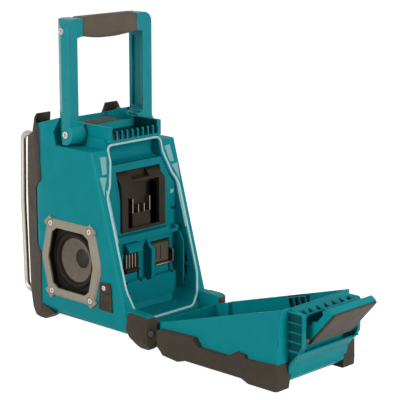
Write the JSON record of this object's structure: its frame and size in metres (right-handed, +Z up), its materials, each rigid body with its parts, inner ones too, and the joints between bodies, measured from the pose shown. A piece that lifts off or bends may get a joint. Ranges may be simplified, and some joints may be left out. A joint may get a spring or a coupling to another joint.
{
  "type": "jobsite radio",
  "caption": "Rugged box radio with side speakers, a slanted rear battery bay behind a hinged latch cover, corner bumpers, front guard bars and a folding handle.",
  "frame": {"origin": "centre of the whole radio's footprint with the cover open, on the floor", "axes": "+Z up, +X to the radio's left-hand side as seen from the rear bay, +Y from the front panel to the open cover"},
  "size_m": [0.163, 0.5594, 0.4274],
  "materials": {
    "teal_plastic": "satin",
    "charcoal_elastomer": "matte",
    "graphite_plastic": "matte",
    "black_panel": "gloss",
    "stone_plastic": "satin",
    "seal_rubber": "matte",
    "mat_rubber": "matte",
    "bright_bar": "polished",
    "screw_steel": "satin",
    "dark_screw_steel": "satin",
    "contact_brass": "bright",
    "cone_paper": "matte",
    "basket_steel": "satin",
    "magnet_ferrite": "matte",
    "board_laminate": "satin",
    "display_glass": "clear",
    "lcd_panel": "satin",
    "key_rubber": "matte",
    "spring_steel": "bright"
  },
  "bodies": {
    "root": {"main_housing": "teal_plastic", "bay_frame": "teal_plastic", "front_panel": "black_panel", "display_lens": "display_glass", "lcd_module": "lcd_panel", "control_board": "board_laminate", "keypad": "key_rubber", "encoder": "screw_steel", "tray_mat": "mat_rubber", "front_bumper_left": "charcoal_elastomer", "front_bumper_right": "charcoal_elastomer", "guard_bar_left": "bright_bar", "guard_bar_right": "bright_bar", "rear_foot_left": "charcoal_elastomer", "rear_foot_right": "charcoal_elastomer", "rear_foot_screws": "dark_screw_steel", "speaker_frame_left": "stone_plastic", "speaker_frame_right": "stone_plastic", "speaker_frame_screws": "screw_steel", "speaker_basket_left": "basket_steel", "speaker_basket_right": "basket_steel", "cone_surrounds": "key_rubber", "speaker_cones": "cone_paper", "dust_caps": "cone_paper", "speaker_magnets": "magnet_ferrite", "dc_jack": "graphite_plastic", "flap_anchor": "charcoal_elastomer", "flap_screw": "screw_steel", "bay_gasket": "seal_rubber", "main_terminal": "graphite_plastic", "main_contacts": "contact_brass", "small_terminal": "graphite_plastic", "small_contacts": "contact_brass", "mid_terminal": "graphite_plastic", "mid_contacts": "contact_brass", "amplifier_board": "board_laminate", "handle_washers": "graphite_plastic", "pivot_screws": "screw_steel", "hinge_pin": "screw_steel"},
    "handle": {"handle_leg_left": "teal_plastic", "handle_leg_right": "teal_plastic", "handle_tube": "screw_steel", "grip_sleeve": "charcoal_elastomer", "grip_screws": "screw_steel"},
    "cover": {"cover_shell": "teal_plastic", "cover_bumper_left": "charcoal_elastomer", "cover_bumper_right": "charcoal_elastomer", "latch_pin": "screw_steel", "latch_spring": "spring_steel"},
    "latch": {"latch_lever": "teal_plastic", "latch_pad": "charcoal_elastomer"},
    "flap": {"jack_flap": "charcoal_elastomer"},
    "knob": {"tuning_knob": "graphite_plastic"},
    "key_1": {"key_1": "key_rubber"},
    "key_2": {"key_2": "key_rubber"},
    "key_3": {"key_3": "key_rubber"},
    "key_4": {"key_4": "key_rubber"},
    "key_5": {"key_5": "key_rubber"},
    "key_6": {"key_6": "key_rubber"}
  },
  "joints": [
    {"name": "handle_fold", "type": "hinge", "parent": "root", "child": "handle", "pos_m": [0, -0.16039, 0.2705], "axis": [-1, 0, 0], "range_deg": [0, 90]},
    {"name": "cover_hinge", "type": "hinge", "parent": "root", "child": "cover", "pos_m": [0, -0.01919, 0.0165], "axis": [1, 0, 0], "range_deg": [0, 90]},
    {"name": "latch_pivot", "type": "hinge", "parent": "cover", "child": "latch", "pos_m": [0, 0.23731, 0.063], "axis": [1, 0, 0], "range_deg": [0, 23], "stiffness_Nm_per_rad": 0.03, "springref_deg": -20.05},
    {"name": "flap_lift", "type": "hinge", "parent": "root", "child": "flap", "pos_m": [0.0804, -0.08269, 0.066], "axis": [0, -1, 0], "range_deg": [0, 95]},
    {"name": "knob_turn", "type": "hinge", "parent": "root", "child": "knob", "pos_m": [0, -0.25169, 0.104], "axis": [0, -1, 0], "continuous": true},
    {"name": "key_1_press", "type": "slide", "parent": "root", "child": "key_1", "axis": [0, 1, 0], "range_m": [0, 0.0012], "stiffness_N_per_m": 400},
    {"name": "key_2_press", "type": "slide", "parent": "root", "child": "key_2", "axis": [0, 1, 0], "range_m": [0, 0.0012], "stiffness_N_per_m": 400},
    {"name": "key_3_press", "type": "slide", "parent": "root", "child": "key_3", "axis": [0, 1, 0], "range_m": [0, 0.0012], "stiffness_N_per_m": 400},
    {"name": "key_4_press", "type": "slide", "parent": "root", "child": "key_4", "axis": [0, 1, 0], "range_m": [0, 0.0012], "stiffness_N_per_m": 400},
    {"name": "key_5_press", "type": "slide", "parent": "root", "child": "key_5", "axis": [0, 1, 0], "range_m": [0, 0.0012], "stiffness_N_per_m": 400},
    {"name": "key_6_press", "type": "slide", "parent": "root", "child": "key_6", "axis": [0, 1, 0], "range_m": [0, 0.0012], "stiffness_N_per_m": 400}
  ]
}
